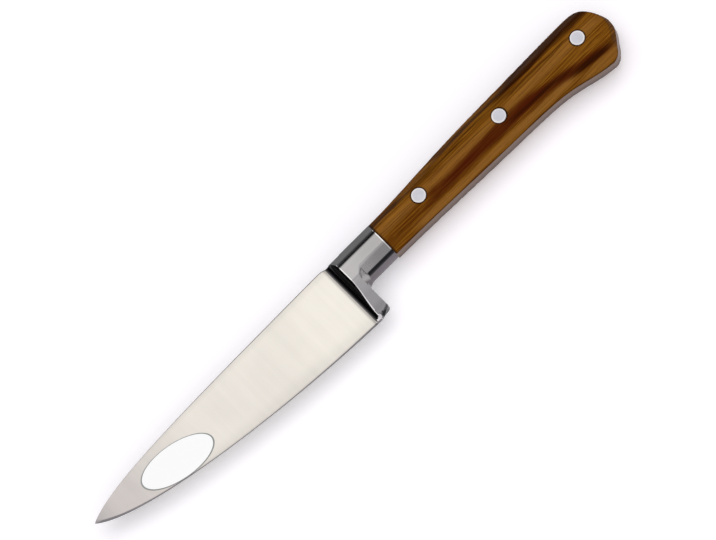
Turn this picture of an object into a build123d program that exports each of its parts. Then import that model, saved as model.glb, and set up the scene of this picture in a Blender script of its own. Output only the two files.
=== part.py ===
import math
import os

from build123d import *

# A small forged kitchen knife with a full tang, lying on its side.
# The blade, its bolster and the tang are one steel forging. Two wooden scales
# are pinned to the tang by three solid rivets, and the whole handle is ground
# flush after it is pinned. A small oval paper label sits on the blade.
#
# The knife is drawn with X from the tip of the blade to the butt, Y up to the
# spine from the middle line of the bolster, and Z out of the middle plane of the steel.
# All lengths are millimetres.

# Lengths along the knife, from the tip
blade_length = 96.7          # tip to the start of the plunge
plunge_reach = 3.5           # how far the hollow of the plunge runs back
edge_end = 98.7              # where the sharpened edge stops, under the bolster
collar_rear = 102.7          # back face of the drop of the bolster
neck_length = 11.9           # bolster from that face to the wood
handle_length = 89.7         # wood and tang, to the end of the butt

# Blade: heights from the middle line, and thicknesses
tip_height = 1.1
spine_height = 6.8
heel_depth = 16.5
spine_thickness = 2.0
edge_thickness = 0.35        # behind the sharpened bevel, at the heel
tip_thickness = 0.6
bevel_half_angle = 20.0
bevel_reach = 0.75           # the bevel's height on a thick section
heel_bevel_angle = 50.0      # the steeper facet where the edge meets the bolster
heel_bevel_reach = 3.0
run_out_radius = 6.0         # the wheel's path as it leaves the edge
run_out_turn = 75.0

# Two points that pull the curve of the spine, and two that pull the cutting edge
spine_front = (9.5, 5.9)
spine_back = (36.0, 6.4)
edge_front = (10.7, 8.85)
edge_back = (64.0, 15.6)
spine_step_start = 94.5      # the spine comes down to the bolster from here
spine_step_end = 99.0

# Bolster: an octagon that the drop to the heel hangs from
neck_height = 12.1
neck_thickness = 12.2
neck_flat = 4.4              # the flat on each side of the octagon
neck_land = 4.4              # the flat on top and under the neck
collar_flat_drop = 4.0       # how far the side flat comes down over the drop
collar_side_depth = 9.0      # where the hollow side is measured, below the middle line
collar_side_thickness = 5.2
collar_foot_thickness = 2.6
plunge_depth = 6.0           # half height of the oval hollow
chamfer_run_out = 2.0
heel_rise = 1.4              # the foot of the drop rises this much to the rear
heel_round = 0.7
notch_round = 0.6
neck_corner_round = 0.8

# Handle
handle_thickness = 13.0
handle_crown = 0.3           # how far the shaped sides stand above the flats, before they are faced
handle_flat = 9.6            # height of the shaped side at the butt
handle_corner_round = 2.6    # of the flat's corners at the butt
side_growth_share = 0.3      # of the handle's length, over which it swells from the bolster
tang_thickness = 4.0
tang_root_round = 1.0
root_clearance = 0.1
wood_gap = 0.05              # glue line between the wood and the bolster
butt_height = 8.45           # of the back of the butt
beak_depth = 11.4            # of the beak of the butt
butt_fall = 8.9              # the back starts to fall this far before the end
butt_nose_depth = 0.65       # the butt's furthest point lies this far below the middle line
butt_nose_pull = 0.3
butt_fall_pull = 7.4
butt_slope_start = 2.5       # the slope up from the beak ends this far before the end
butt_slope_depth = 7.0
beak_run = 5.8               # the point of the beak lies this far before the end
beak_round = 4.5
butt_lean_start = 0.1        # the lean of the butt starts this far past the lands

# The back and the belly of the handle between the bolster and the butt, as
# shares of the handle's length and of the rise or the drop to the butt
back_shares = ((0.14, 0.17), (0.35, 0.60), (0.60, 0.83))
belly_shares = ((0.20, 0.05), (0.50, 0.19), (0.66, 0.27), (0.76, 0.45), (0.85, 0.82))

# Stations of the lean and the rounded rim of the butt, as shares of the way
# from the lands to the flats, and the size of its outline at each, as a share
# of the outline on the tang
butt_lean_shares = ((0.0, 1.0), (0.82, 0.9), (0.95, 0.86), (1.0, 0.79))

# Stations of the ground sides, and how far the flat has widened at each,
# as shares of the handle's length and of the growth to the butt
flat_shares = (
    (0.0, 0.0),
    (0.17, 0.3),
    (0.34, 0.6),
    (0.51, 0.75),
    (0.66, 0.85),
    (0.8, 0.95),
    (0.9, 1.0),
    (1.05, 1.0),
)

# Rivets
rivet_height = 0.2           # the line of the rivets above the middle line
first_rivet = 16.1           # from the front of the wood
last_rivet = 10.2            # from the end of the butt
middle_rivet_share = 0.505   # of the way from the first rivet to the last
rivet_diameter = 4.0
rivet_head_diameter = 4.5
rivet_head_depth = 1.5
rivet_clearance = 0.04
rivet_edge_break = 0.12

# Paper label
label_length = 24.5
label_width = 10.9
label_thickness = 0.12
label_glue = 0.02
label_from_tip = 29.1
label_below_middle = 3.3
label_tilt = 11.1

overrun = 5.0                # how far a cut runs past the steel or the wood
edge_over = 1.0              # how far the ground sides run past the outline of the handle
quarter_turn = 90.0
height_search_steps = 40

# Places that follow from the sizes
neck_end = collar_rear + neck_length
butt_end = neck_end + handle_length
wood_start = neck_end + wood_gap
neck_half_height = neck_height / 2
neck_half_thickness = neck_thickness / 2
handle_half_thickness = handle_thickness / 2
tang_half_thickness = tang_thickness / 2
lean_height = neck_land / 2 + butt_lean_start
grind_height = spine_height + heel_depth
grind_rise = (spine_thickness - edge_thickness) / 2 / grind_height
tip_thinning = (spine_thickness - tip_thickness) / 2 - grind_rise * (spine_height - tip_height)
grind_taper = tip_thinning / blade_length


def grind_half_thickness(x, y):
    """Half the thickness of the flat-ground blade at a place on its side."""
    return spine_thickness / 2 - grind_rise * (spine_height - y) - grind_taper * (blade_length - x)


def line_shape(points):
    """A face from a closed run of straight lines."""
    return make_face(Polyline(*points, close=True))


# Outline of the blade, the bolster and the neck, seen from the side
def side_outline():
    tip = (0, tip_height)
    edge_stop = (edge_end, -heel_depth)
    heel_foot = (collar_rear, -heel_depth + heel_rise)
    spine = Bezier(tip, spine_front, spine_back, (spine_step_start, spine_height))
    step_pull = (spine_step_end - spine_step_start) / 2
    step = Bezier(
        spine @ 1,
        (spine_step_start + step_pull, spine_height),
        (spine_step_end - step_pull, neck_half_height),
        (spine_step_end, neck_half_height),
    )
    edge = edge_curve()
    rest = Polyline(
        edge_stop,
        heel_foot,
        (collar_rear, -neck_half_height),
        (neck_end, -neck_half_height),
        (neck_end, neck_half_height),
        step @ 1,
    )
    outline = make_face([spine, step, edge, rest])
    foot_corner = outline.vertices().sort_by_distance((collar_rear, -heel_depth + heel_rise, 0))[0]
    outline = fillet(foot_corner, heel_round)
    notch = outline.vertices().sort_by_distance((collar_rear, -neck_half_height, 0))[0]
    return fillet(notch, notch_round)


def edge_curve():
    """The cutting edge, from the tip to the place where it stops under the bolster."""
    return Bezier(
        (0, tip_height),
        (edge_front[0], -edge_front[1]),
        (edge_back[0], -edge_back[1]),
        (edge_end, -heel_depth),
    )


# Section of the bolster bar: half an octagon above, and a hollow side down to the heel
def bolster_section():
    top = spine_height + overrun
    foot = heel_depth + overrun
    foot_half = collar_foot_thickness / 2
    land_half = neck_land / 2
    flat_half = neck_flat / 2
    under_heel = Line((-foot, foot_half), (-heel_depth, foot_half))
    hollow = ThreePointArc(
        (-heel_depth, foot_half),
        (-collar_side_depth, collar_side_thickness / 2),
        (-collar_flat_drop, neck_half_thickness),
    )
    shoulder = Polyline(
        (-collar_flat_drop, neck_half_thickness),
        (flat_half, neck_half_thickness),
        (neck_half_height, land_half),
        (top, land_half),
        (top, 0),
        (-foot, 0),
        (-foot, foot_half),
    )
    half = make_face([under_heel, hollow, shoulder])
    corners = [
        half.vertices().sort_by_distance((-collar_flat_drop, neck_half_thickness, 0))[0],
        half.vertices().sort_by_distance((flat_half, neck_half_thickness, 0))[0],
    ]
    half = fillet(corners, neck_corner_round)
    return half + mirror(half, about=Plane.XZ)


# Everything outside the ground side of the blade and the hollow of the plunge
def grind_cutter():
    middle = (spine_height - heel_depth) / 2
    front = -overrun
    front_level = grind_half_thickness(front, middle)
    back_level = grind_half_thickness(blade_length, middle)
    top = back_level + plunge_depth
    hollow = EllipticalCenterArc(
        (blade_length, top),
        plunge_reach,
        plunge_depth,
        start_angle=-quarter_turn,
        arc_size=quarter_turn,
    )
    rest = Polyline(
        hollow @ 1,
        (blade_length + plunge_reach, top + overrun),
        (front, top + overrun),
        (front, front_level),
        (blade_length, back_level),
    )
    profile = Plane.XZ.offset(-middle) * make_face([hollow, rest])
    lean = grind_half_thickness(blade_length, spine_height) - grind_half_thickness(blade_length, -heel_depth)
    along = Vector(0, grind_height, lean)
    return extrude(profile, amount=grind_height, dir=along.normalized(), both=True)


# A notch that is carried along the cutting edge and leaves the two bevels
def bevel_cutter():
    edge = edge_curve()
    lead_in = Line(edge @ 0 - (edge % 0) * overrun, edge @ 0)
    run_out = JernArc(edge @ 1, edge % 1, run_out_radius, -run_out_turn)
    path = Wire([lead_in.edge(), edge.edge(), run_out.edge()])
    bevel_top = bevel_reach * math.tan(math.radians(bevel_half_angle))
    heel_top = bevel_top + (heel_bevel_reach - bevel_reach) * math.tan(math.radians(heel_bevel_angle))
    notch = line_shape(
        [
            (0, 0),
            (bevel_reach, bevel_top),
            (heel_bevel_reach, heel_top),
            (heel_bevel_reach, heel_top + overrun),
            (-overrun, heel_top + overrun),
            (-overrun, -heel_top - overrun),
            (heel_bevel_reach, -heel_top - overrun),
            (heel_bevel_reach, -heel_top),
            (bevel_reach, -bevel_top),
        ]
    )
    start = path @ 0
    along = path % 0
    inward = Vector(-along.Y, along.X, 0)
    section = Plane(origin=start, x_dir=inward, z_dir=along) * notch
    return sweep(section, path=path)


# The lower bevels of the neck, which run out against the drop of the bolster
def neck_chamfer_cutter():
    flat_half = neck_flat / 2
    land_half = neck_land / 2
    fall = (neck_half_thickness - land_half) / (neck_half_height - flat_half)

    def triangle(x, top):
        upper = (-top + overrun, neck_half_thickness + overrun * fall)
        lower = (-top - overrun, neck_half_thickness - overrun * fall)
        corner = (-top - overrun, neck_half_thickness + overrun * fall)
        return Plane.YZ.offset(x) * line_shape([upper, lower, corner])

    ramp_end = collar_rear + chamfer_run_out
    ramp = loft([triangle(collar_rear, collar_flat_drop), triangle(ramp_end, flat_half)], ruled=True)
    run = extrude(triangle(ramp_end, flat_half), amount=neck_end + overrun - ramp_end)
    return ramp + run


# Outline of the handle, seen from the side
def back_curve():
    rise = butt_height - neck_half_height
    between = [
        (neck_end + along * handle_length, neck_half_height + up * rise) for along, up in back_shares
    ]
    ends = [(neck_end, neck_half_height), (butt_end - butt_fall, butt_height)]
    return Spline(ends[0], *between, ends[1], tangents=[(1, 0), (1, 0)])


def belly_curve():
    drop = beak_depth - neck_half_height
    between = [
        (neck_end + along * handle_length, -neck_half_height - down * drop) for along, down in belly_shares
    ]
    ends = [(neck_end, -neck_half_height), (butt_end - beak_run, -beak_depth)]
    return Spline(ends[0], *between, ends[1], tangents=[(1, 0), (1, 0)])


def butt_end_run(back_end, belly_end):
    """The end of the butt: the fall of the back, the turn at the nose, the slope down to the beak."""
    nose = (butt_end, -butt_nose_depth)
    slope_top = (butt_end - butt_slope_start, -butt_slope_depth)
    fall = Bezier(
        back_end,
        (butt_end - butt_fall + butt_fall_pull, butt_height),
        (butt_end, -butt_nose_depth + butt_nose_pull),
        nose,
    )
    slope = Vector(*slope_top) - belly_end
    turn_pull = (butt_slope_depth - butt_nose_depth) / 2
    turn = Bezier(
        nose,
        (butt_end, -butt_nose_depth - turn_pull),
        Vector(*slope_top) + slope.normalized() * turn_pull,
        slope_top,
    )
    return [fall, turn, Line(slope_top, belly_end)]


def handle_outline():
    back = back_curve()
    belly = belly_curve()
    front = Line(back @ 0, belly @ 0)
    outline = make_face([back, *butt_end_run(back @ 1, belly @ 1), belly, front])
    beak = outline.vertices().sort_by_distance(belly @ 1)[0]
    return fillet(beak, beak_round)


def leaning_butt():
    """The outline of the butt alone, drawn in towards its middle between the lands and the flats."""
    middle = Vector(butt_end - butt_fall, (butt_height - beak_depth) / 2)
    front = neck_end - handle_length / 2
    back_end = Vector(butt_end - butt_fall, butt_height)
    belly_end = Vector(butt_end - beak_run, -beak_depth)
    rest = Polyline(belly_end, (front, -beak_depth), (front, butt_height), back_end)
    outline = make_face([*butt_end_run(back_end, belly_end), rest])
    beak = outline.vertices().sort_by_distance(belly_end)[0]
    outline = fillet(beak, beak_round)
    sections = []
    for up, size in butt_lean_shares:
        height = lean_height + up * (handle_half_thickness - lean_height)
        drawn_in = scale(outline, by=size)
        sections.append(Pos(middle.X * (1 - size), middle.Y * (1 - size), height) * drawn_in)
    return loft(sections, ruled=True)


def height_at(curve, x):
    """The height of a curve where it reaches x."""
    low, high = 0.0, 1.0
    for _ in range(height_search_steps):
        middle = (low + high) / 2
        if (curve @ middle).X < x:
            low = middle
        else:
            high = middle
    return (curve @ low).Y


# The ground sides of the handle: the octagon of the bolster widens into a broad flat
def handle_section(length_share, flat_share, back, belly):
    x = neck_end + length_share * handle_length
    top = height_at(back, x)
    bottom = height_at(belly, x)
    flat_half = (neck_flat + flat_share * (handle_flat - neck_flat)) / 2
    growth = handle_half_thickness + handle_crown - neck_half_thickness
    side = neck_half_thickness + min(1, length_share / side_growth_share) * growth
    land = neck_land / 2
    flat_bottom = -flat_half + (bottom + top) / 2
    top_over = edge_over * (side - land) / (top - flat_half)
    bottom_over = edge_over * (side - land) / (flat_bottom - bottom)
    corners = [
        (flat_half, side),
        (top + edge_over, land - top_over),
        (top + edge_over, top_over - land),
        (flat_half, -side),
        (flat_bottom, -side),
        (bottom - edge_over, bottom_over - land),
        (bottom - edge_over, land - bottom_over),
        (flat_bottom, side),
    ]
    section = line_shape(corners)
    side_corners = section.vertices().filter_by(lambda corner: abs(corner.Y) > land)
    round_size = neck_corner_round + length_share * (handle_corner_round - neck_corner_round)
    return Plane.YZ.offset(x) * fillet(side_corners, round_size)


def handle_form():
    """The handle as it is ground, tang and scales together."""
    back = back_curve()
    belly = belly_curve()
    sides = loft([handle_section(*station, back, belly) for station in flat_shares])
    lands = extrude(handle_outline(), amount=lean_height, both=True)
    butt = leaning_butt()
    return (lands + butt + mirror(butt, about=Plane.XY)) & sides


def tang_body(root_round):
    """The flat of the tang, with the hollow rounds of its root, wider than the handle."""
    half = tang_half_thickness
    root = root_round + half
    front = neck_end - overrun
    end = butt_end + overrun
    upper_round = CenterArc((neck_end + root_round, root), root_round, 2 * quarter_turn, quarter_turn)
    lower_round = CenterArc((neck_end + root_round, -root), root_round, quarter_turn, quarter_turn)
    upper = Polyline(upper_round @ 1, (end, half), (end, -half), lower_round @ 0)
    lower = Polyline(lower_round @ 1, (front, -root), (front, root), upper_round @ 0)
    profile = Plane.XZ * make_face([upper_round, upper, lower_round, lower])
    return extrude(profile, amount=beak_depth + overrun, both=True)


# The steel: blade, bolster and tang in one piece
def forged_blade(holes):
    outline = extrude(side_outline(), amount=neck_thickness, both=True)
    bar = extrude(Plane.YZ.offset(-overrun) * bolster_section(), amount=neck_end + overrun)
    grind = grind_cutter()
    chamfer_tool = neck_chamfer_cutter()
    steel = bar & outline
    steel = steel - grind - mirror(grind, about=Plane.XY)
    steel = steel - chamfer_tool - mirror(chamfer_tool, about=Plane.XY)
    steel = steel - bevel_cutter()
    tang = extrude(handle_outline(), amount=neck_half_thickness, both=True) & tang_body(tang_root_round)
    return steel + tang - holes


# The wood
def scales(form, holes):
    relief = tang_body(tang_root_round + root_clearance)
    keep = Pos(wood_start, 0, 0) * Box(
        handle_length + overrun,
        2 * (beak_depth + overrun),
        handle_thickness,
        align=(Align.MIN, Align.CENTER, Align.CENTER),
    )
    wood = (form & keep) - relief - holes
    halves = wood.solids().sort_by(Axis.Z)
    return halves[-1], halves[0]


# The rivets, and the holes that they sit in
def rivet_body(spare, over):
    """A pin that flares at both ends, with spare room round it, run out past the sides of the handle."""
    flare = (rivet_head_diameter - rivet_diameter) / 2 / rivet_head_depth
    head_start = handle_half_thickness - rivet_head_depth
    end = handle_half_thickness + over
    shank = rivet_diameter / 2 + spare
    head = shank + flare * (end - head_start)
    profile = [(0, end), (head, end), (shank, head_start), (shank, -head_start), (head, -end), (0, -end)]
    return revolve(Plane.XZ * line_shape(profile), axis=Axis.Z)


def rivet():
    body = rivet_body(0, 0)
    rim_start = handle_half_thickness - rivet_edge_break
    rims = body.edges().filter_by(lambda edge: abs(edge.center().Z) > rim_start)
    return chamfer(rims, rivet_edge_break)


def at_rivets(shape):
    first = neck_end + first_rivet
    last = butt_end - last_rivet
    middle = first + middle_rivet_share * (last - first)
    return [Pos(place, rivet_height, 0) * shape for place in (first, middle, last)]


# The label: an oval of paper on the flat side of the blade
def oval_label():
    x = label_from_tip
    y = -label_below_middle
    along = Vector(1, 0, grind_taper)
    up = Vector(0, 1, grind_rise)
    tilt = math.radians(label_tilt)
    level = grind_half_thickness(x, y)
    across = along * math.cos(tilt) - up * math.sin(tilt)
    face = Plane(origin=(x, y, level), x_dir=across, z_dir=along.cross(up))
    oval = face.offset(label_glue) * Ellipse(label_length / 2, label_width / 2)
    return extrude(oval, amount=label_thickness)


if __name__ == "__main__":
    os.makedirs("parts", exist_ok=True)
    holes = at_rivets(rivet_body(rivet_clearance, overrun))
    front_scale, back_scale = scales(handle_form(), holes)
    pieces = {
        "forged_blade": forged_blade(holes),
        "front_scale": front_scale,
        "back_scale": back_scale,
        "oval_label": oval_label(),
    }
    pieces.update(zip(("bolster_rivet", "middle_rivet", "butt_rivet"), at_rivets(rivet())))

    # The origin lies under the middle of the whole knife, which rests on its back scale
    reach = Compound(list(pieces.values())).bounding_box()
    place = Pos(-reach.center().X, -reach.center().Y, -reach.min.Z)
    for name, piece in pieces.items():
        export_step(place * piece, f"parts/{name}.step")
        print(name, round(piece.volume, 3))
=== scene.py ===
import math

import bpy
import numpy as np
from mathutils import Matrix, Vector


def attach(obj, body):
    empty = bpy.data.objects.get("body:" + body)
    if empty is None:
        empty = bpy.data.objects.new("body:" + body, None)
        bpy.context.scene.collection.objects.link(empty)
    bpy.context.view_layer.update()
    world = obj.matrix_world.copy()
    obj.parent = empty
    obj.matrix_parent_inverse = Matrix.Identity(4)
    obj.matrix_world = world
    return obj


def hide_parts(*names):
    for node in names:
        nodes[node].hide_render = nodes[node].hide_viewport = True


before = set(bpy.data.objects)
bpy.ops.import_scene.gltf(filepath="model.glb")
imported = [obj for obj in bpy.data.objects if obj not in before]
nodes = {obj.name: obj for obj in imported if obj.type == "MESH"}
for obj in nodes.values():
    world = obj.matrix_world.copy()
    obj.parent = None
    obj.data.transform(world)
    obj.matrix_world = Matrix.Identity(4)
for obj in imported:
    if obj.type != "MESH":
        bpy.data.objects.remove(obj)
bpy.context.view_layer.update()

# The steel forging: blade, bolster and tang are one bar of stainless steel, hammered to shape and then
# ground, and the tang runs on through the whole handle. Its side is one height over the middle plane of
# the steel, in millimetres from the tip of the blade and up from the middle line of the bolster.
mm = 0.001
tip_place = -102.15  # the tip, the middle line and the middle plane in the frame
middle_line = 4.025
middle_plane = 6.5

plunge = 96.7  # where the flat grind ends and its hollow rises to the bolster
plunge_reach = 3.5
plunge_depth = 6.0
wall_slope = 50
edge_stop = 98.7
drop_rear = 102.7
neck_end = 114.6
butt_end = 204.3
heel = -16.5
foot_rise = 1.4
notch_round = 0.6
neck_half = 6.05  # half the neck's height, thickness and flat, and half of what its edges keep flat
neck_side = 6.1
neck_flat = 2.2
neck_land = 2.2
flat_drop = 4.0
facet_run_out = 2.0
heel_side = 1.3
drop_pass = (-9.0, 2.6)  # a height on the drop, and half its thickness there
spine_top = 6.8
spine_side = 1.0
tang_side = 2.0
grind_rise = 0.0354
grind_taper = 0.00513
bevel_slope = math.tan(math.radians(20))
heel_slope = math.tan(math.radians(50))
bevel_width = 0.75
thinnest = 0.02
tip_bevel_share = 0.3
run_out_radius = 6.0
spine_break = 0.2
corner_round = 0.45
back_round = 1.3
collar_round = 1.1
belly_round = 5.3


def bezier(points, count):
    """Points on a cubic: its four pulls, each weighted by its share at that way along."""
    way = np.linspace(0, 1, count)[:, None]
    a, b, c, d = (np.array(point, float) for point in points)
    return a * (1 - way) ** 3 + 3 * b * way * (1 - way) ** 2 + 3 * c * way**2 * (1 - way) + d * way**3


def through(places, heights):
    """A line through the heights, level at both ends: cubic runs that bend alike where they meet."""
    places, heights = np.array(places, float), np.array(heights, float)
    run, rise = np.diff(places), np.diff(heights)
    inner = np.arange(1, len(places) - 1)
    rows = np.eye(len(places))
    rows[inner, inner - 1] = 1 / run[:-1]
    rows[inner, inner] = 2 / run[:-1] + 2 / run[1:]
    rows[inner, inner + 1] = 1 / run[1:]
    right = np.zeros(len(places))
    right[inner] = 3 * (rise[:-1] / run[:-1] ** 2 + rise[1:] / run[1:] ** 2)
    slopes = np.linalg.solve(rows, right)
    runs = []
    for i, pull in enumerate(run / 3):
        start, end = (places[i], heights[i]), (places[i + 1], heights[i + 1])
        first = (start[0] + pull, start[1] + slopes[i] * pull)
        second = (end[0] - pull, end[1] - slopes[i + 1] * pull)
        runs.append(bezier([start, first, second, end], 40))
    return np.vstack(runs)


spine_line = np.vstack(
    [
        bezier([(0, 1.1), (9.5, 5.9), (36, 6.4), (94.5, spine_top)], 400),
        bezier([(94.5, spine_top), (96.75, spine_top), (96.75, neck_half), (99, neck_half)], 40),
        [(neck_end, neck_half)],
    ]
)
edge_line = bezier([(0, 1.1), (10.7, -8.85), (64, -15.6), (edge_stop, heel)], 400)
foot = heel + foot_rise
foot_turn = bezier(
    [
        (drop_rear - 0.7, foot - 0.25),
        (drop_rear - 0.3, foot - 0.1),
        (drop_rear, foot + 0.25),
        (drop_rear + 0.001, foot + 0.6),
    ],
    12,
)
foot_line = np.vstack([edge_line, foot_turn])


def upper_at(x):
    """The height of the spine and the neck's back at x, read off their line."""
    return np.interp(x, spine_line[:, 0], spine_line[:, 1])


def lower_at(x):
    """The height of the edge at x, and past its end that of the foot of the drop, read off their line."""
    return np.interp(x, foot_line[:, 0], foot_line[:, 1])


def edge_slope(x):
    """How steeply the edge runs at x: each step of its line up over the same step along."""
    return np.interp(x, edge_line[1:, 0], np.diff(edge_line[:, 1]) / np.diff(edge_line[:, 0]))


def soft_min(a, b, width):
    """The lower of two heights, with the corner between them rounded over the given width."""
    share = np.clip(0.5 + 0.5 * (b - a) / width, 0, 1)
    return b * (1 - share) + a * share - width * share * (1 - share)


def bar_side(y):
    """Half the bar's thickness: an octagon's side and upper facet, and an arc hollow down to the heel."""
    upper = neck_land + (neck_half - y) * (neck_side - neck_land) / (neck_half - neck_flat)
    (ya, za), (yb, zb), (yc, zc) = (heel, heel_side), drop_pass, (-flat_drop, neck_side)
    turn = 2 * (ya * (zb - zc) + yb * (zc - za) + yc * (za - zb))
    sa, sb, sc = ya**2 + za**2, yb**2 + zb**2, yc**2 + zc**2
    cy = (sa * (zb - zc) + sb * (zc - za) + sc * (za - zb)) / turn
    cz = (sa * (yc - yb) + sb * (ya - yc) + sc * (yb - ya)) / turn
    arc = cz - np.sqrt(np.clip((ya - cy) ** 2 + (za - cz) ** 2 - (y - cy) ** 2, 0, None))
    arc = np.where(y > yc, zc + (y - yc) * 3, arc)
    return soft_min(soft_min(neck_side, upper, back_round), arc, collar_round)


def ground_side(x, y):
    """The flat grind: a wedge that thins from the spine to the edge and from the bolster to the tip."""
    return spine_side - grind_rise * (spine_top - y) - grind_taper * (plunge - x)


def hollow(x):
    """The plunge: a quarter of an oval that rises from the flat grind, and then a steep wall."""
    way = np.clip((x - plunge) / plunge_reach, 0, 1)
    wall = wall_slope * np.clip(x - plunge - plunge_reach, 0, None)
    return plunge_depth * (1 - np.sqrt(1 - way**2)) + wall


def bevel_side(x, y):
    """The sharpened bevel and a steeper one above it, run out on a circle past the end of the edge."""
    slope = edge_slope(x)
    from_edge = (y - np.interp(x, edge_line[:, 0], edge_line[:, 1])) / np.sqrt(1 + slope**2)
    end_slope = edge_slope(edge_stop)
    circle_x = edge_stop + run_out_radius * end_slope / math.hypot(1, end_slope)
    circle_y = heel - run_out_radius / math.hypot(1, end_slope)
    from_circle = np.hypot(x - circle_x, y - circle_y) - run_out_radius
    distance = np.clip(np.where(x > edge_stop, from_circle, from_edge), 0, None)
    past = np.clip(distance - bevel_width, 0, None)
    return np.minimum(distance, bevel_width) * bevel_slope + past * heel_slope


def neck_facet(x, y):
    """The neck's lower facet, which climbs to the octagon's corner, cut off by the arc of its belly."""
    climb = np.clip((x - drop_rear) / facet_run_out, 0, 1)
    top = -flat_drop + climb * (flat_drop - neck_flat)
    slope = (neck_side - neck_land) / (neck_half - neck_flat)
    facet = neck_side - (top - y) * slope
    lean = math.hypot(1, slope)
    centre_y = belly_round - neck_half
    centre_z = neck_side - (neck_half - neck_flat) * slope + belly_round * (slope - lean)
    belly = centre_z + np.sqrt(np.clip(belly_round**2 - (y - centre_y) ** 2, 0, None))
    past_arc = np.clip(neck_side + (y + neck_flat) * slope - belly, 0, None)
    return facet - np.where(y < centre_y - belly_round * slope / lean, past_arc, 0)


# Rows from the edge to the spine: six on the bevel, then those of the drop, then those of the neck,
# which lie close together on the turns between its facets
notch_low = -neck_half - notch_round
bevel_steps = np.linspace(0, 1, 6)
drop_heights = np.concatenate([np.linspace(-13.3, -7.4, 26), [-7.1, -6.85, notch_low]])
belly_heights = notch_low + 1.05 * belly_round * (1 - np.cos(np.radians(np.arange(8, 45, 4))))
neck_heights = np.concatenate(
    [
        belly_heights,
        np.linspace(-4.93, -4.6, 3),
        np.linspace(-4.45, -1.6, 22),
        np.linspace(-1.3, 1.3, 8),
        np.linspace(1.6, 2.8, 10),
        np.linspace(3.05, 5.7, 11),
        [5.82, neck_half],
    ]
)
row_heights = np.concatenate([drop_heights, neck_heights])


def bevel_height(x):
    """How far up the sharpened bevel reaches before it meets the flat grind, less at the low tip."""
    lower = lower_at(x)
    thickness = np.clip(ground_side(x, lower), thinnest, None)
    reach = thickness / (bevel_slope / np.sqrt(1 + edge_slope(x) ** 2) - grind_rise)
    return np.minimum(np.clip(reach, 0, bevel_width), tip_bevel_share * (upper_at(x) - lower))


drop_low = lower_at(drop_rear) + bevel_height(drop_rear)
row_shares = np.concatenate([0 * bevel_steps, (row_heights - drop_low) / (neck_half - drop_low)])
row_bevels = np.concatenate([bevel_steps, 0 * row_heights + 1])


def blade_rows(x):
    """The height of every row at x: the first rows stay on the bevel, the others share what is above."""
    bevel = bevel_height(x)
    above_bevel = upper_at(x) - lower_at(x) - bevel
    return lower_at(x) + row_bevels * bevel + row_shares * above_bevel


# The rim of the plunge, where its hollow meets the side of the bar, found for every row by halving
near = np.full((1, len(row_shares)), plunge)
far = near + plunge_reach
for _ in range(40):
    rim = (near + far) / 2
    inside = ground_side(rim, blade_rows(rim)) + hollow(rim) < bar_side(blade_rows(rim))
    near = np.where(inside, rim, near)
    far = np.where(inside, far, rim)

blade_x = plunge * np.linspace(0, 1, 130)[:-1, None] ** 1.3 + 0 * rim
hollow_turn = np.linspace(0, 1, 30)[:, None] * np.arcsin((rim - plunge) / plunge_reach)
hollow_x = plunge + plunge_reach * np.sin(hollow_turn)
collar_x = rim + (drop_rear - rim) * (1 - np.cos(np.linspace(0, np.pi, 16)[1:, None])) / 2
column_x = np.vstack([blade_x, hollow_x, collar_x])
column_y = blade_rows(column_x)
column_z = np.minimum(ground_side(column_x, column_y) + hollow(column_x), bar_side(column_y))
column_z = np.minimum(column_z, bevel_side(column_x, column_y))
column_z[:, -1] -= np.minimum(spine_break, 0.3 * column_z[:, -1])
blade_patch = np.stack([column_x, column_y, column_z], -1)

shine_width = 0.27  # of the painted highlight lines, and of the neck's last strip of faces that carries one
last_strip = 1 - shine_width / (neck_end - drop_rear)
neck_ways = np.sort(np.append(np.linspace(0, 1, 36) ** 1.6, last_strip))
neck_x = drop_rear + (neck_end - drop_rear) * neck_ways[:, None]
notch_way = np.clip((neck_x - drop_rear) / notch_round, 0, 1)
neck_low = -neck_half - notch_round * (1 - np.sqrt(1 - (1 - notch_way) ** 2))
neck_shares = (row_heights[len(drop_heights) - 1 :] - notch_low) / (neck_half - notch_low)
neck_y = neck_low + neck_shares * (neck_half - neck_low)
neck_x = neck_x + 0 * neck_y
facet_round = corner_round * (neck_x > drop_rear) + 1e-6
neck_z = soft_min(bar_side(neck_y), neck_facet(neck_x, neck_y), facet_round)
neck_patch = np.stack([neck_x, neck_y, neck_z], -1)

butt_start = 195.4
butt_height = 8.45
beak_depth = -11.4
butt_nose = (butt_end, -0.65)
slope_top = (201.8, -7.0)
back_run = through(
    (neck_end, 127.16, 146.0, 168.42, butt_start),
    (neck_half, 6.46, 7.49, 8.04, butt_height),
)
belly_run = through(
    (neck_end, 132.54, 159.45, 173.8, 182.77, 190.85, 198.5),
    (-neck_half, -6.32, -7.07, -7.49, -8.46, -10.44, beak_depth),
)
fall = bezier([(butt_start, butt_height), (202.8, butt_height), (butt_end, -0.35), butt_nose], 160)
beak = bezier([(196.25, beak_depth), (197.67, beak_depth), (199.0, -10.73), (199.85, -9.6)], 16)
turn = bezier([slope_top, (203.7, -4.46), (butt_end, -3.83), butt_nose], 60)
back_line = np.vstack([back_run, fall])
belly_line = np.vstack([belly_run[belly_run[:, 0] < 196.2], beak, turn])


def back_at(x):
    """The height of the handle's back at x, read off its line."""
    return np.interp(x, back_line[:, 0], back_line[:, 1])


def belly_at(x):
    """The height of the handle's belly at x, read off its line."""
    return np.interp(x, belly_line[:, 0], belly_line[:, 1])


def handle_places(start, count):
    """Places along the handle, closer and closer towards the upright end of the butt."""
    way = np.linspace(0, 1, count)[:, None]
    return start + (butt_end - start) * np.sin(way * np.pi / 2) ** 0.8


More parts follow.
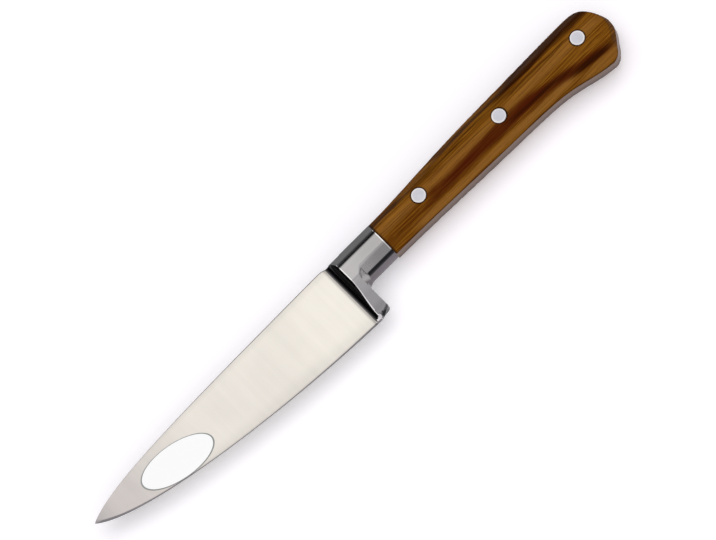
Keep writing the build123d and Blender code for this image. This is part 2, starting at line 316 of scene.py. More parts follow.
tang_x = handle_places(neck_end, 150)
tang_shares = (neck_y[-1] + neck_half) / (2 * neck_half)
tang_y = belly_at(tang_x) + tang_shares * (back_at(tang_x) - belly_at(tang_x))
tang_patch = np.stack([tang_x + 0 * tang_y, tang_y, tang_side + 0 * tang_y], -1)
step_patch = np.stack([neck_patch[-1], tang_patch[0]])


def joined(points, quads):
    """The same faces with points that coincide made one, without the corners and faces that vanish."""
    kept, place = np.unique(np.round(points, 5) + 0.0, axis=0, return_inverse=True)
    quads = place.reshape(-1)[quads]
    same = quads == np.roll(quads, -1, axis=1)
    triangles = quads[same.sum(1) == 1]
    triangles = triangles[~same[same.sum(1) == 1]].reshape(-1, 3)
    return kept, quads[same.sum(1) == 0], triangles


def closed_body(name, patches, under):
    """A closed mesh: the patches, the same points sent under, and a wall between their open rims."""
    points, quads, start = [], [], 0
    for patch in patches:
        index = start + np.arange(patch.shape[0] * patch.shape[1]).reshape(patch.shape[:2])
        corners = index[:-1, :-1], index[1:, :-1], index[1:, 1:], index[:-1, 1:]
        quads.append(np.stack(corners, -1).reshape(-1, 4))
        points.append(patch.reshape(-1, 3))
        start += index.size
    points, place = np.unique(np.round(np.vstack(points), 5) + 0.0, axis=0, return_inverse=True)
    quads = place.reshape(-1)[np.vstack(quads)]
    count = len(points)
    ahead = np.roll(quads, -1, axis=1)
    rim_side = ~np.isin(quads * count + ahead, ahead * count + quads) & (quads != ahead)
    start, end = quads[rim_side], ahead[rim_side]
    walls = np.stack([end, start, start + count, end + count], -1)
    faces = np.vstack([quads, quads[:, ::-1] + count, walls])
    points, quads, triangles = joined(np.vstack([points, under(points)]), faces)
    points = (points + (tip_place, middle_line, middle_plane)) * mm
    mesh = bpy.data.meshes.new(name)
    mesh.from_pydata(points.tolist(), [], quads.tolist() + triangles.tolist())
    mesh.validate()
    piece = bpy.data.objects.new(name, mesh)
    bpy.context.scene.collection.objects.link(piece)
    return piece


def smooth(piece, angle):
    """Shades the faces as one surface wherever they meet at less than the angle."""
    piece.data.shade_smooth()
    piece.data.set_sharp_from_angle(angle=math.radians(angle))


forging = closed_body(
    "forging", [blade_patch, neck_patch, step_patch, tang_patch], lambda points: points * (1, 1, -1)
)
smooth(forging, 20)
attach(forging, "root")
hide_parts("forged_blade")


def mark_faces(piece, name, test):
    """Stores on every face how far its middle passes a test of its place, from 0 to 1."""
    middles = np.empty(len(piece.data.polygons) * 3)
    piece.data.polygons.foreach_get("center", middles)
    along, across = (middles.reshape(-1, 3)[:, :2] / mm - (tip_place, middle_line)).T
    marks = piece.data.attributes.new(name, "FLOAT", "FACE")
    marks.data.foreach_set("value", test(along, across).astype(float))


line_shine = 0.75
shine_low = -4.4
shine_top = 3
steep_end = 99.4


def sharpened_at(x, y):
    """1 below the line that the sharpened bevel reaches, as far as the end of the edge."""
    return (x < edge_stop) & (y < lower_at(x) + bevel_height(x))


def painted_highlight_at(x, y):
    """Painted highlight: full on the bevel's steep end, weaker on strips past the plunge's rim and before
    the wood.
    """
    past_rim = x - np.interp(y, blade_rows(rim)[0], rim[0])
    at_rim = (past_rim > 0) & (past_rim < shine_width) & (y < shine_top)
    to_wood = neck_end - x
    at_wood = (to_wood < shine_width) & (to_wood > 0) & (y > shine_low) & (y < shine_top)
    steep = bevel_side(x, y) < np.minimum(ground_side(x, y) + hollow(x), bar_side(y))
    at_heel = steep & (x > plunge) & (x < steep_end) & (y > lower_at(x) + bevel_height(x))
    return np.maximum(at_heel, line_shine * (at_rim | at_wood))


mark_faces(forging, "sharpened", sharpened_at)
mark_faces(forging, "painted_highlight", painted_highlight_at)


def tone(red, green, blue):
    """A colour as it looks on a screen, from 0 to 255, turned into the light that it stands for."""
    shares = np.array([red, green, blue]) / 255
    return (*np.where(shares > 0.04045, ((shares + 0.055) / 1.055) ** 2.4, shares / 12.92), 1)


def add(tree, kind, inputs=None, **settings):
    """A shader node with its settings, its inputs set to a value or joined to a node's output."""
    made = tree.nodes.new(kind)
    for name, value in settings.items():
        setattr(made, name, value)
    for socket, value in (inputs or {}).items():
        if isinstance(value, bpy.types.NodeSocket):
            tree.links.new(value, made.inputs[socket])
        else:
            made.inputs[socket].default_value = value
    return made


def reckon(tree, operation, first, second=0.0, third=0.0):
    """One sum on two or three values, such as the first times the second plus the third."""
    return add(tree, "ShaderNodeMath", {0: first, 1: second, 2: third}, operation=operation).outputs[0]


def product(tree, first, *others):
    """All the values multiplied, one after the other."""
    for value in others:
        first = reckon(tree, "MULTIPLY", first, value)
    return first


def highest(tree, first, *others):
    """The highest of the values, taken one after the other."""
    for value in others:
        first = reckon(tree, "MAXIMUM", first, value)
    return first


def rest_of(tree, share):
    """What a share leaves of one."""
    return reckon(tree, "SUBTRACT", 1.0, share)


def ramp(tree, value, low, high, start=0.0, end=1.0):
    """A soft step: start up to the low value, end from the high one, an S-shaped rise between them."""
    inputs = {"Value": value, "From Min": low, "From Max": high, "To Min": start, "To Max": end}
    return add(tree, "ShaderNodeMapRange", inputs, interpolation_type="SMOOTHSTEP").outputs["Result"]


def between(tree, share, first, second):
    """The value that lies that share of the way from the first to the second."""
    return add(tree, "ShaderNodeMix", {0: share, 2: first, 3: second}).outputs[0]


def blend(tree, share, first, second, blend_type="MIX"):
    """The colour that lies that share of the way from the first to the second."""
    inputs = {"Factor": share, 6: first, 7: second}
    return add(tree, "ShaderNodeMix", inputs, data_type="RGBA", blend_type=blend_type).outputs[2]


def grey(tree, value):
    """A colour whose red, green and blue are all the value."""
    return add(tree, "ShaderNodeCombineColor", {0: value, 1: value, 2: value}).outputs[0]


def vector(tree, x, y, z=0.0):
    """Three values as one place."""
    return add(tree, "ShaderNodeCombineXYZ", {0: x, 1: y, 2: z}).outputs[0]


def stretched(tree, place, factors):
    """A place with each of its three parts multiplied by its factor."""
    return add(tree, "ShaderNodeVectorMath", {0: place, 1: factors}, operation="MULTIPLY").outputs[0]


def noise(tree, place, scale=1.0, **inputs):
    """Blender's noise at the place, around one half."""
    return add(tree, "ShaderNodeTexNoise", {"Vector": place, "Scale": scale, **inputs}).outputs[0]


def in_millimetres(tree):
    """The place on the object, then its ways from the tip, above the middle line and over the floor."""
    place = stretched(tree, add(tree, "ShaderNodeTexCoord").outputs["Object"], (1000, 1000, 1000))
    along, across, height = add(tree, "ShaderNodeSeparateXYZ", {0: place}).outputs
    from_tip = reckon(tree, "SUBTRACT", along, tip_place)
    above_line = reckon(tree, "SUBTRACT", across, middle_line)
    return place, from_tip, above_line, height


def facing(tree):
    """How far the surface faces towards the butt, the spine and the label's side, each from -1 to 1."""
    normal = add(tree, "ShaderNodeNewGeometry").outputs["Normal"]
    return add(tree, "ShaderNodeSeparateXYZ", {0: normal}).outputs


def relief(tree, height, strength, distance):
    """The normal of a surface that the height raises and sinks."""
    inputs = {"Height": height, "Strength": strength, "Distance": distance}
    return add(tree, "ShaderNodeBump", inputs).outputs[0]


def node_group(name, inputs, outputs):
    """An empty group with the sockets named, and its two ends."""
    tree = bpy.data.node_groups.new(name, "ShaderNodeTree")
    for side, sockets in (("INPUT", inputs), ("OUTPUT", outputs)):
        for socket, kind in sockets.items():
            tree.interface.new_socket(socket, in_out=side, socket_type="NodeSocket" + kind)
    return tree, tree.nodes.new("NodeGroupInput").outputs, tree.nodes.new("NodeGroupOutput").inputs


def new_material(name):
    """A material's node tree, the inputs of its shader and the material."""
    material = bpy.data.materials.new(name)
    material.use_nodes = True
    return material.node_tree, material.node_tree.nodes["Principled BSDF"].inputs, material


def join(tree, surface, **sources):
    """Joins what changes over the surface to the inputs of its shader."""
    for socket, source in sources.items():
        tree.links.new(source, surface[socket.replace("_", " ")])


# Grinding lines: noise drawn out along the belt's path, fine lines over broad uneven bands
grinding, given, found = node_group(
    "grinding_lines", {"Place": "Vector", "Stretch": "Vector"}, {"Lines": "Float", "Bands": "Float"}
)
drawn = stretched(grinding, given["Place"], given["Stretch"])
grinding.links.new(noise(grinding, drawn, Detail=3.0, Roughness=0.7), found["Lines"])
grinding.links.new(noise(grinding, drawn, 0.09, Detail=2.0), found["Bands"])

# Handling: soft cloudy patches where hands and cloths have dulled or polished the surface
handling, given, found = node_group(
    "handling_marks", {"Place": "Vector", "Size": "Float"}, {"Marks": "Float"}
)
cloud_scale = reckon(handling, "DIVIDE", 1.0, given["Size"])
clouds = noise(handling, given["Place"], cloud_scale, Detail=4.0, Distortion=0.4)
handling.links.new(ramp(handling, clouds, 0.3, 0.7), found["Marks"])


def grinding_lines(tree, place, stretch):
    """The group placed in a material: noise of the place times the stretch, fine and broad."""
    return add(tree, "ShaderNodeGroup", {"Place": place, "Stretch": stretch}, node_tree=grinding).outputs


def handling_marks(tree, place, size):
    """The group placed in a material: clouds of the size in millimetres, from 0 to 1."""
    return add(tree, "ShaderNodeGroup", {"Place": place, "Size": size}, node_tree=handling).outputs[0]


tree, steel, steel_material = new_material("ground_steel")
place, from_tip, above_line, height = in_millimetres(tree)
facing_butt, facing_spine, facing_side = facing(tree)
facing_side = reckon(tree, "ABSOLUTE", facing_side)
on_bolster = ramp(tree, from_tip, plunge + 0.3, plunge + 1.4)
on_tang = ramp(tree, from_tip, neck_end - 0.2, neck_end + 0.2)

# Painted shade on the narrow faces: the spine and the neck's back, the belly and the tang, but not the
# plunge
to_spine = ramp(tree, facing_spine, 0.02, 0.2)
to_tip = ramp(tree, facing_butt, -0.75, -0.45, 1, 0)
back_faces = product(tree, to_spine, ramp(tree, facing_side, 0.78, 0.97, 1, 0))
not_to_butt = highest(tree, ramp(tree, facing_butt, 0.15, 0.4, 1, 0), on_tang)
belly_faces = product(tree, ramp(tree, facing_side, 0.35, 0.66, 1, 0), not_to_butt)
narrow = product(tree, highest(tree, back_faces, belly_faces), rest_of(tree, to_tip))

# Painted shade: the ground blade grows brighter from its tip to the bolster, as its reflection fades at
# the tip
blade_tone = (0.345, 0.33, 0.32, 1)
for start, end, reached in (
    (0, 9, (0.43, 0.41, 0.38, 1)),
    (9, 42, (0.555, 0.54, 0.48, 1)),
    (45, 95, (0.585, 0.572, 0.503, 1)),
):
    blade_tone = blend(tree, ramp(tree, from_tip, start, end), blade_tone, reached)

# Painted reflection: the bolster is darkest low on the drop, and its neck is darker than its collar
low_drop, drop, collar = (0.165, 0.163, 0.165, 1), (0.245, 0.243, 0.241, 1), (0.36, 0.358, 0.345, 1)
flat_side, neck_tone = (0.3, 0.3, 0.287, 1), (0.265, 0.265, 0.252, 1)
bolster_tone = blend(tree, ramp(tree, above_line, -9.5, -4.5), drop, collar)
bolster_tone = blend(tree, ramp(tree, above_line, -14.5, -11, 1, 0), bolster_tone, low_drop)
# Painted reflection: the flat faces that look straight up get a tone of their own
on_flat = product(tree, ramp(tree, facing_side, 0.93, 0.99), ramp(tree, above_line, -6, -4))
bolster_tone = blend(tree, on_flat, bolster_tone, flat_side)
bolster_tone = blend(tree, ramp(tree, from_tip, drop_rear, drop_rear + 9), bolster_tone, neck_tone)

colour = blend(tree, on_bolster, blade_tone, bolster_tone)
# The sharpened bevel is darker: partly its own grind, partly a painted shade for the dim light its slope
# mirrors
sharpened = add(tree, "ShaderNodeAttribute", attribute_name="sharpened").outputs["Fac"]
colour = blend(tree, sharpened, colour, (0.19, 0.185, 0.182, 1))
# Painted shade: the tang's side darkens towards the floor below it
tang_low, tang_high = (0.1, 0.066, 0.052, 1), (0.18, 0.124, 0.098, 1)
tang_tone = blend(tree, ramp(tree, height, middle_plane - 2.2, middle_plane + 0.8), tang_low, tang_high)
belly_tone = blend(tree, on_tang, (0.17, 0.155, 0.165, 1), tang_tone)
# Painted shade: the narrow faces get a dark tone, darkest by the spine, for the dim light they mirror
narrow_tone = blend(tree, to_spine, belly_tone, (0.095, 0.097, 0.094, 1))
colour = blend(tree, narrow, colour, narrow_tone)

# Painted reflection: the turns of the neck, the hollow of the plunge and the foot of the drop are painted
# near black, for the dark surroundings that they mirror
belly_turn = product(
    tree,
    ramp(tree, facing_side, 0.4, 0.52),
    ramp(tree, facing_side, 0.67, 0.7, 1, 0),
    ramp(tree, facing_spine, -0.6, -0.5, 1, 0),
    ramp(tree, facing_butt, 0.05, 0.2, 1, 0),
    ramp(tree, from_tip, drop_rear + facet_run_out - 0.1, drop_rear + facet_run_out + 0.1),
)
back_turn = product(
    tree,
    ramp(tree, facing_side, 0.72, 0.8),
    ramp(tree, facing_side, 0.92, 0.995, 1, 0),
    ramp(tree, facing_spine, 0.05, 0.2, 0, 0.7),
)
turns = product(tree, highest(tree, belly_turn, back_turn), on_bolster)
before_plunge = reckon(tree, "LESS_THAN", from_tip, plunge + 0.1)
in_hollow = product(
    tree,
    highest(tree, before_plunge, ramp(tree, facing_butt, -0.12, -0.06, 1, 0)),
    ramp(tree, from_tip, plunge - 1.0, plunge + 0.9),
    ramp(tree, from_tip, drop_rear - 0.5, drop_rear, 1, 0),
)
foot_lean = 0.35
above_foot = reckon(tree, "MULTIPLY_ADD", from_tip, -foot_lean, foot_lean * edge_stop - heel)
above_foot = reckon(tree, "ADD", above_foot, above_line)
on_foot = product(
    tree,
    ramp(tree, above_foot, 0.6, 1.1, 0.85, 0),
    ramp(tree, from_tip, 99.2, 99.9),
    ramp(tree, from_tip, drop_rear, drop_rear + 0.2, 1, 0),
)
colour = blend(tree, highest(tree, turns, in_hollow, on_foot), colour, (0.03, 0.03, 0.032, 1))
# Painted highlight: the bright lines past the rim, before the wood and on the bevel's steep end
painted_highlight = add(tree, "ShaderNodeAttribute", attribute_name="painted_highlight").outputs["Fac"]
colour = blend(tree, painted_highlight, colour, (0.72, 0.71, 0.69, 1))

# The belt left its lines, and the blade is a little darker towards the spine and the edge
blade_lines = grinding_lines(tree, place, (5.0, 0.22, 0.22))
bolster_lines = grinding_lines(tree, place, (0.3, 6.0, 6.0))
lines = between(tree, on_bolster, blade_lines["Lines"], bolster_lines["Lines"])
bands = between(tree, on_bolster, blade_lines["Bands"], bolster_lines["Bands"])
edge_lean = 0.075
lean_start = 71
to_edge = reckon(tree, "MULTIPLY_ADD", from_tip, edge_lean, -edge_lean * lean_start)
to_edge = ramp(tree, reckon(tree, "ADD", to_edge, above_line), -14.6, -9.5, 0.12, 0)
darker_by_spine_and_edge = highest(tree, ramp(tree, above_line, 4, spine_top, 0, 0.13), to_edge)
darker_by_spine_and_edge = product(tree, darker_by_spine_and_edge, rest_of(tree, on_bolster))
shade = product(
    tree,
    reckon(tree, "MULTIPLY_ADD", lines, 0.1, 0.95),
    reckon(tree, "MULTIPLY_ADD", bands, 0.1, 0.95),
    rest_of(tree, darker_by_spine_and_edge),
)
colour = blend(tree, 1.0, colour, grey(tree, shade), "MULTIPLY")
marks = handling_marks(tree, place, 14.0)
roughness = reckon(tree, "MULTIPLY_ADD", on_bolster, -0.12, 0.34)
roughness = reckon(tree, "MULTIPLY_ADD", narrow, 0.16, roughness)
roughness = reckon(tree, "MULTIPLY_ADD", product(tree, to_tip, on_bolster), -0.1, roughness)
roughness = reckon(tree, "MULTIPLY_ADD", reckon(tree, "SUBTRACT", lines, 0.5), 0.08, roughness)
roughness = reckon(tree, "MULTIPLY_ADD", reckon(tree, "SUBTRACT", marks, 0.5), 0.05, roughness)
join(tree, steel, Base_Color=colour, Roughness=roughness, Normal=relief(tree, lines, 0.12, 0.00002))
steel["Metallic"].default_value = 1.0
forging.data.materials.append(steel_material)


# The two scales: quarter-sawn wood glued and riveted to the tang, then ground with it. Their sides go on
# from the octagon of the bolster and widen into a broad flat, and those of the butt lean in all round it.
wood_start = neck_end + 0.05
wood_side = 6.5
flat_half = 4.8
side_gain = 0.7
full_side_share = 0.3
butt_slope = 34.4
butt_rim = 1.9
butt_land = 0.1
round_gain = 1.5
face_round = 0.3
edge_break = 0.22
edge_break_width = 0.4
rivet_line = 0.2
rivet_places = (130.7, 162.84, 194.1)
hole_radius = 2.29


def flat_growth(x):
    """How much of its growth towards the butt the flat has made at x, and the share of the handle."""
    share = (x - neck_end) / (butt_end - neck_end)
    growth = np.interp(share, (0, 0.17, 0.34, 0.51, 0.66, 0.8, 0.9), (0, 0.3, 0.6, 0.75, 0.85, 0.95, 1))
    return growth, share


outline = np.vstack([back_line, belly_line[::-1]])


def from_outline(x, y):
    """The shortest way from each place to the points of the handle's outline."""
    places = np.stack([x.ravel(), y.ravel()], -1)
    lots = [places[i : i + 2000, None] - outline for i in range(0, len(places), 2000)]
    return np.concatenate([np.hypot(lot[..., 0], lot[..., 1]).min(1) for lot in lots]).reshape(x.shape)


def butt_side(x, y):
    """The lean of the butt, which falls with the share of the way from its middle out to its outline."""
    centre = (butt_height + beak_depth) / 2
    rim = np.vstack([fall, turn[::-1], beak[::-1], [(butt_start, beak_depth)]]) - (butt_start, centre)
    turns = -np.arctan2(rim[:, 1], rim[:, 0])
    ways = np.interp(-np.arctan2(y - centre, x - butt_start), turns, np.hypot(*rim.T))
    past_start = np.hypot(x - butt_start, y - centre) / ways
    out = np.where(x > butt_start, past_start, abs(y - centre) / (butt_height - centre))
    return neck_land + butt_land + (1 - out) * butt_slope


def wood_height(x, y):
    """The lowest of a faced flat, two slopes down to the tang and the butt's lean, corners rounded."""
    growth, share = flat_growth(x)
    filled = np.clip(share / full_side_share, 0, 1)
    top = np.interp(x, back_run[:, 0], back_run[:, 1])
    bottom = np.interp(x, belly_run[:, 0], belly_run[:, 1])
    flat_top = neck_flat + growth * (flat_half - neck_flat)
    flat_bottom = (top + bottom) / 2 - flat_top
    side = neck_side + filled * side_gain
    upper = neck_land + (top - y) * (side - neck_land) / (top - flat_top)
    lower = neck_land + (y - bottom) * (side - neck_land) / (flat_bottom - bottom)
    width = corner_round + share * round_gain
    height = soft_min(soft_min(side, upper, width), lower, width)
    height = soft_min(height, wood_side, 0.05 + face_round * filled)
    height = soft_min(height, soft_min(wood_side, butt_side(x, y), butt_rim), face_round)
    rounding = np.clip(1 - from_outline(x, y) / edge_break_width, 0, 1) ** 2
    return np.clip(height - edge_break * rounding, tang_side, None)


scale_x = handle_places(wood_start, 170)
scale_rows = np.linspace(0, 1, 80)
scale_shares = 0.55 * scale_rows + 0.45 * (1 - np.cos(np.pi * scale_rows)) / 2
scale_y = belly_at(scale_x) + scale_shares * (back_at(scale_x) - belly_at(scale_x))
scale_x = scale_x + 0 * scale_y
scale_patch = np.stack([scale_x, scale_y, wood_height(scale_x, scale_y)], -1)


def drilled(piece):
    """Cuts the three rivet holes right through a scale."""
    for place in rivet_places:
        bpy.ops.mesh.primitive_cylinder_add(vertices=64, radius=hole_radius * mm, depth=30 * mm)
        drill = bpy.context.object
        centre = Vector((place + tip_place, rivet_line + middle_line, middle_plane)) * mm
        drill.data.transform(Matrix.Translation(centre))
        cut = piece.modifiers.new("hole", "BOOLEAN")
        cut.operation = "DIFFERENCE"
        cut.object = drill
        cut.solver = "EXACT"
        bpy.context.view_layer.update()
        evaluated = piece.evaluated_get(bpy.context.evaluated_depsgraph_get())
        mesh = bpy.data.meshes.new_from_object(evaluated)
        piece.modifiers.clear()
        piece.data = mesh
        bpy.data.objects.remove(drill)


front_wood = closed_body(
    "front_wood", [scale_patch], lambda points: points * (1, 1, 0) + (0, 0, tang_side)
)
back_wood = closed_body(
    "back_wood", [scale_patch[:, ::-1] * (1, 1, -1)], lambda points: points * (1, 1, 0) - (0, 0, tang_side)
)
for wood, replaced in ((front_wood, "front_scale"), (back_wood, "back_scale")):
    drilled(wood)
    smooth(wood, 35)
    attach(wood, "root")
    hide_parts(replaced)


# A streak of the figure: a soft band along the grain that starts, leans and ends where it is told
streak_sizes = ("Start", "End", "Height", "Lean", "Width")
streaks, given, found = node_group(
    "wood_streak",
    {name: "Float" for name in ("Along", "Across", *streak_sizes)},
    {"Mask": "Float"},
)
from_start = reckon(streaks, "SUBTRACT", given["Along"], given["Start"])
to_end = reckon(streaks, "SUBTRACT", given["End"], given["Along"])
middle = reckon(streaks, "MULTIPLY_ADD", from_start, given["Lean"], given["Height"])
away = reckon(streaks, "DIVIDE", reckon(streaks, "SUBTRACT", given["Across"], middle), given["Width"])
band = ramp(streaks, reckon(streaks, "ABSOLUTE", away), 0.35, 1.25, 1, 0)
ends = product(streaks, ramp(streaks, from_start, -3, 4), ramp(streaks, to_end, -3, 4))
streaks.links.new(product(streaks, band, ends), found["Mask"])

# Start, end, height, lean, width and strength: the red-brown heart, the dark lines, the pale ones
heart_streaks = (
    (108, 134, -2.6, 0.0, 1.9, 0.35),
    (131, 176, -1.2, -0.010, 2.5, 0.9),
    (138, 178, -1.3, -0.016, 1.3, 0.9),
    (168, 187, -1.4, -0.150, 1.8, 0.95),
    (182, 200, -4.0, -0.160, 1.5, 0.95),
)
dark_streaks = (
    (163, 181, -1.75, -0.06, 0.7, 0.75),
    (172, 187, -2.2, -0.12, 0.7, 0.6),
    (186, 200, -5.4, -0.08, 0.9, 1.0),
    (199, 204.5, -5.6, 0.0, 0.4, 0.7),
    (168, 206, 7.0, 0.0, 1.6, 1.0),
    (164, 206, 5.9, 0.0, 0.8, 0.85),
    (140, 170, 6.6, 0.0, 0.55, 0.6),
    (147, 172, 6.7, 0.0, 0.55, 0.6),
    (149, 168, 5.1, -0.01, 0.35, 0.6),
    (168, 192, 3.85, -0.004, 0.3, 0.7),
    (110, 127, 5.0, 0.0, 0.8, 0.85),
    (127, 140, 4.9, 0.02, 0.35, 0.5),
    (128, 150, 4.3, 0.015, 0.5, 0.5),
    (163, 172, 4.6, -0.02, 0.35, 0.4),
)
light_streaks = (
    (112, 204, 1.6, 0.002, 1.7, 0.5),
    (124, 186, -5.0, -0.012, 1.4, 0.75),
    (186, 205, -9.0, 0.0, 2.2, 0.5),
)

tree, finish, wood_material = new_material("figured_wood")
place, from_tip, above_line, height = in_millimetres(tree)
depth = reckon(tree, "ABSOLUTE", reckon(tree, "SUBTRACT", height, middle_plane))

# The growth rings lean through the plank and waver along it, so the figure depends on the depth as well
ring_lean = 0.38
ring_start = 0.88
ring = reckon(tree, "MULTIPLY_ADD", depth, ring_lean, reckon(tree, "SUBTRACT", above_line, ring_start))
waver = noise(tree, stretched(tree, vector(tree, from_tip, ring), (0.04, 0.38, 1)), Detail=3.0)
ring = reckon(tree, "MULTIPLY_ADD", reckon(tree, "SUBTRACT", waver, 0.5), 2.2, ring)
fibre_place = vector(tree, product(tree, from_tip, 0.06), product(tree, ring, 2.4))
fibre = noise(tree, fibre_place, Detail=5.0, Roughness=0.65)
thin = noise(tree, vector(tree, product(tree, from_tip, 0.03), product(tree, ring, 4.5), 3.0), Detail=2.0)
pores = ramp(tree, noise(tree, stretched(tree, place, (0.5, 7, 7)), Detail=2.0), 0.6, 0.72)


def streaked(colour, rows, laid):
    """Lays the streaks of a table over the colour, each with its strength broken up by the fibres."""
    for row in rows:
        strength = row[-1]
        inputs = {"Along": from_tip, "Across": ring, **dict(zip(streak_sizes, row))}
        mask = add(tree, "ShaderNodeGroup", inputs, node_tree=streaks).outputs["Mask"]
        broken = product(tree, mask, ramp(tree, fibre, 0.2, 0.75, strength, strength * 0.75))
        colour = blend(tree, broken, colour, laid)
    return colour


colour = blend(tree, ramp(tree, fibre, 0.34, 0.66), tone(86, 44, 2), tone(137, 90, 23))
colour = streaked(colour, light_streaks, tone(150, 104, 46))
colour = blend(tree, ramp(tree, thin, 0.32, 0.48, 0.3, 0.0), colour, tone(156, 106, 42))
colour = streaked(colour, heart_streaks, tone(72, 24, 5))
colour = streaked(colour, dark_streaks, tone(44, 16, 3))
colour = blend(tree, ramp(tree, thin, 0.52, 0.7, 0.0, 0.5), colour, tone(50, 18, 2))
colour = blend(tree, product(tree, pores, 0.35), colour, tone(50, 24, 6))


def from_rivet(tree, spot, from_tip, above_line):
    """The way from the middle line of a rivet."""
    places = {0: vector(tree, from_tip, above_line), 1: (spot, rivet_line, 0)}
    return add(tree, "ShaderNodeVectorMath", places, operation="DISTANCE").outputs["Value"]


# Polish and dirt gather in the joints with the steel and round the rivets, and the end grain of the butt
# has drunk more oil
grime = ramp(tree, from_tip, wood_start + 0.25, wood_start + 0.8, 1, 0)
grime = highest(tree, grime, ramp(tree, depth, tang_side + 0.1, tang_side + 0.7, 0.7, 0))
for spot in rivet_places:
    away = from_rivet(tree, spot, from_tip, above_line)
    grime = highest(tree, grime, ramp(tree, away, hole_radius + 0.05, hole_radius + 0.45, 1, 0))
facing_butt = facing(tree)[0]
on_butt = ramp(tree, from_tip, butt_start, butt_start + 2, 0, 0.55)
grime = highest(tree, grime, product(tree, ramp(tree, facing_butt, 0.5, 0.97), on_butt))
colour = blend(tree, product(tree, grime, 0.8), colour, tone(30, 15, 6))
roughness = reckon(tree, "MULTIPLY_ADD", fibre, -0.15, 0.5)
roughness = reckon(tree, "MULTIPLY_ADD", handling_marks(tree, place, 18.0), 0.12, roughness)
grain = relief(tree, reckon(tree, "MULTIPLY_ADD", pores, -0.6, fibre), 0.25, 0.00006)
join(tree, finish, Base_Color=colour, Roughness=roughness, Normal=grain)
finish["Specular IOR Level"].default_value = 0.006
front_wood.data.materials.append(wood_material)
back_wood.data.materials.append(wood_material)

# The three rivets: solid pins of polished steel through both scales and the tang, peened into the holes
# and ground flush, with rims that the belt broke, and a painted highlight in a ring just inside each rim.
painted_rim_highlight = (1.5, 2.1)

tree, metal, rivet_material = new_material("rivet_steel")
place, from_tip, above_line, height = in_millimetres(tree)
lines = grinding_lines(tree, place, (1.0, 9.0, 9.0))["Lines"]
marks = handling_marks(tree, place, 3.0)
out = 10.0
for spot in rivet_places:
    out = reckon(tree, "MINIMUM", out, from_rivet(tree, spot, from_tip, above_line))
face_tone = blend(tree, marks, (0.34, 0.35, 0.375, 1), (0.39, 0.4, 0.425, 1))
colour = blend(tree, ramp(tree, out, *painted_rim_highlight), face_tone, (0.49, 0.48, 0.47, 1))
roughness = reckon(tree, "MULTIPLY_ADD", marks, 0.06, 0.2)
roughness = reckon(tree, "MULTIPLY_ADD", lines, 0.12, roughness)
join(tree, metal, Base_Color=colour, Roughness=roughness, Normal=relief(tree, lines, 0.1, 0.00002))
metal["Metallic"].default_value = 1.0
for name in ("bolster_rivet", "middle_rivet", "butt_rivet"):
    rivet = nodes[name]
    rivet.data.materials.clear()
    rivet.data.materials.append(rivet_material)

# The label: an oval of smooth white paper, blank but for a thin ring printed inside its cut edge, and
# stuck flat on the ground side of the blade.
label_centre = (29.1, -3.3)
label_half = (12.25, 5.45)
label_turn = math.radians(11.1)
ring_edges = (0.955, 0.975)

tree, paper, label_material = new_material("label_paper")
place, from_tip, above_line, height = in_millimetres(tree)
away_along = reckon(tree, "SUBTRACT", from_tip, label_centre[0])
away_across = reckon(tree, "SUBTRACT", above_line, label_centre[1])


def label_share(along_part, across_part, half):
    """The way from the label's centre along one of its axes, as a share of its half there."""
    second = product(tree, away_across, across_part / half)
    return reckon(tree, "MULTIPLY_ADD", away_along, along_part / half, second)


long_way = label_share(math.cos(label_turn), -math.sin(label_turn), label_half[0])
short_way = label_share(math.sin(label_turn), math.cos(label_turn), label_half[1])
oval = {0: vector(tree, long_way, short_way)}
reach = add(tree, "ShaderNodeVectorMath", oval, operation="LENGTH").outputs["Value"]
weave = noise(tree, place, 6.0, Detail=4.0)
colour = blend(tree, weave, tone(249, 253, 247), tone(252, 255, 250))
colour = blend(tree, ramp(tree, reach, *ring_edges), colour, tone(112, 122, 114))
roughness = reckon(tree, "MULTIPLY_ADD", weave, 0.15, 0.3)
join(tree, paper, Base_Color=colour, Roughness=roughness, Normal=relief(tree, weave, 0.1, 0.00002))
paper["Specular IOR Level"].default_value = 1.0
label = nodes["oval_label"]
label.data.materials.clear()
label.data.materials.append(label_material)

# The camera of the photograph: a long lens over the middle of the knife, a little on the side of its edge,
# turned until the knife lies from the lower left corner to the upper right one.
tilt, yaw, roll = (math.radians(angle) for angle in (69.16, 3.507, 41.513))
camera_distance = 1.5
picture_width = 716
pixels_per_metre = 3519
sensor_width = 36
aim = Vector((1.60, 3.533, 6.5)) * mm

toward = Vector((-math.sin(yaw) * math.cos(tilt), -math.cos(yaw) * math.cos(tilt), math.sin(tilt)))
level = Vector((math.cos(yaw), -math.sin(yaw), 0))
upward = toward.cross(level)
right = math.cos(roll) * level - math.sin(roll) * upward
up = math.sin(roll) * level + math.cos(roll) * upward
camera = bpy.data.objects.new("camera", bpy.data.cameras.new("camera"))
bpy.context.scene.collection.objects.link(camera)
bpy.context.scene.camera = camera
camera.data.sensor_width = sensor_width
camera.data.lens = pixels_per_metre * camera_distance * sensor_width / picture_width
looking = Matrix((right, up, toward)).transposed().to_4x4()
camera.matrix_world = Matrix.Translation(aim + toward * camera_distance) @ looking

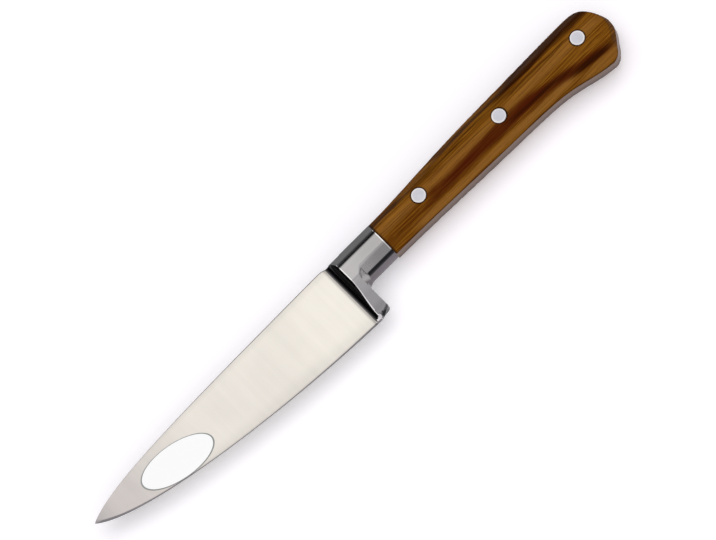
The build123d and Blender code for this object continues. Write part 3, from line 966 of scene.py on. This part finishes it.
# The floor: white paper, wide and plain, that only takes the knife's soft shadow. It shines a little of
# its own for the camera and for reflections, which makes it white without more light on the knife.
floor_half = 2
floor_white = 0.93
floor_shine = 0.2
floor_corners = np.array([(-1, -1, 0), (1, -1, 0), (1, 1, 0), (-1, 1, 0)]) * floor_half
floor_mesh = bpy.data.meshes.new("floor")
floor_mesh.from_pydata(floor_corners.tolist(), [], [(0, 1, 2, 3)])
floor = bpy.data.objects.new("floor", floor_mesh)
bpy.context.scene.collection.objects.link(floor)
tree, sheet, floor_material = new_material("floor_paper")
path = add(tree, "ShaderNodeLightPath").outputs
seen = highest(tree, path["Is Camera Ray"], path["Is Glossy Ray"], path["Is Transmission Ray"])
join(tree, sheet, Emission_Strength=product(tree, seen, floor_shine))
sheet["Emission Color"].default_value = (1, 1, 1, 1)
sheet["Base Color"].default_value = (floor_white, floor_white, floor_white, 1)
sheet["Roughness"].default_value = 0.9
sheet["Specular IOR Level"].default_value = 0.0
floor_mesh.materials.append(floor_material)

# The light: one broad softbox nearly overhead, a little behind the back of the knife, in a pale room that
# is dark low down behind the knife and past its tip.
softbox = bpy.data.lights.new("softbox", "AREA")
softbox.shape = "RECTANGLE"
softbox.size = 1.2
softbox.size_y = 0.7
softbox.energy = 1.54
softbox.color = (1, 0.97, 0.93)
softbox_object = bpy.data.objects.new("softbox", softbox)
bpy.context.scene.collection.objects.link(softbox_object)
softbox_object.location = (0.2, 0.42, 0.92)
softbox_object.rotation_euler = softbox_object.location.to_track_quat("Z", "Y").to_euler()

world = bpy.data.worlds.new("room")
bpy.context.scene.world = world
world.use_nodes = True
tree = world.node_tree
direction = add(tree, "ShaderNodeTexCoord").outputs["Generated"]
east, north, rise = add(tree, "ShaderNodeSeparateXYZ", {0: direction}).outputs
open_side = reckon(tree, "MULTIPLY_ADD", east, 0.6, product(tree, north, -0.8))
open_side = ramp(tree, open_side, -0.3, 0.15)
dim = ramp(tree, rise, 0.5, 0.85, 0.03, 1.17)
lit = product(tree, ramp(tree, rise, 0.05, 0.25), reckon(tree, "MULTIPLY_ADD", rise, 0.64, 0.64))
backdrop = tree.nodes["Background"].inputs
backdrop["Color"].default_value = (1.0, 0.97, 1.03, 1)
join(tree, backdrop, Strength=between(tree, open_side, dim, lit))
bpy.context.scene.view_settings.view_transform = "Standard"
